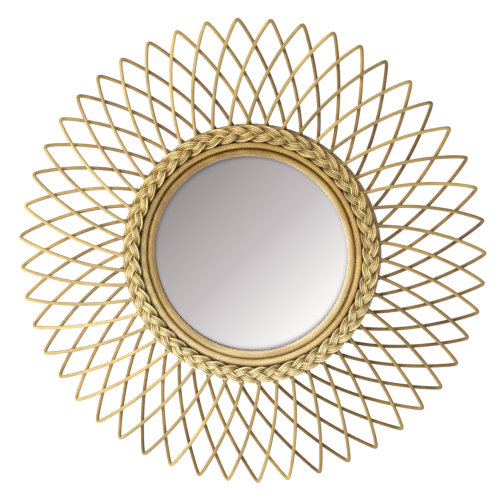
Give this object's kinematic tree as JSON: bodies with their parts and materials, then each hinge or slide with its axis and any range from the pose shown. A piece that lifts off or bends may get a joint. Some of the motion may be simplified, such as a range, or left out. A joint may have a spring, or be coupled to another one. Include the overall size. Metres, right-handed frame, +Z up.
{
  "type": "wall mirror",
  "caption": "Round wall mirror framed by bent cane hoops and a plaited ring, with a flat sunburst of long pointed cane petals around it.",
  "frame": {"origin": "middle of the backing board's flat back, where the mirror hangs against the wall", "axes": "+Y into the wall and the front faces -Y, +Z up, +X to the right for someone who looks at the mirror"},
  "size_m": [0.5996, 0.0308, 0.6005],
  "materials": {
    "mirror_glass": "silvered flat glass",
    "backing_board": "plain fibreboard",
    "hoop_pole": "smooth natural rattan pole, satin",
    "braid_reed": "round rattan reed, plaited, matt",
    "petal_cane": "smooth natural rattan cane, satin"
  },
  "bodies": {
    "root": {"mirror_glass": "mirror_glass", "backing_board": "backing_board", "inner_hoop": "hoop_pole", "outer_hoop": "hoop_pole", "back_hoop": "hoop_pole", "braid_strand_1": "braid_reed", "braid_strand_2": "braid_reed", "braid_strand_3": "braid_reed", "petal_01": "petal_cane", "petal_02": "petal_cane", "petal_03": "petal_cane", "petal_04": "petal_cane", "petal_05": "petal_cane", "petal_06": "petal_cane", "petal_07": "petal_cane", "petal_08": "petal_cane", "petal_09": "petal_cane", "petal_10": "petal_cane", "petal_11": "petal_cane", "petal_12": "petal_cane", "petal_13": "petal_cane", "petal_14": "petal_cane", "petal_15": "petal_cane", "petal_16": "petal_cane", "petal_17": "petal_cane", "petal_18": "petal_cane", "petal_19": "petal_cane", "petal_20": "petal_cane", "petal_21": "petal_cane", "petal_22": "petal_cane", "petal_23": "petal_cane", "petal_24": "petal_cane", "petal_25": "petal_cane", "petal_26": "petal_cane", "petal_27": "petal_cane", "petal_28": "petal_cane", "petal_29": "petal_cane", "petal_30": "petal_cane", "petal_31": "petal_cane", "petal_32": "petal_cane", "petal_33": "petal_cane", "petal_34": "petal_cane", "petal_35": "petal_cane", "petal_36": "petal_cane", "petal_37": "petal_cane", "petal_38": "petal_cane", "petal_39": "petal_cane", "petal_40": "petal_cane", "petal_41": "petal_cane", "petal_42": "petal_cane", "petal_43": "petal_cane", "petal_44": "petal_cane", "petal_45": "petal_cane", "petal_46": "petal_cane", "petal_47": "petal_cane", "petal_48": "petal_cane"}
  },
  "joints": []
}
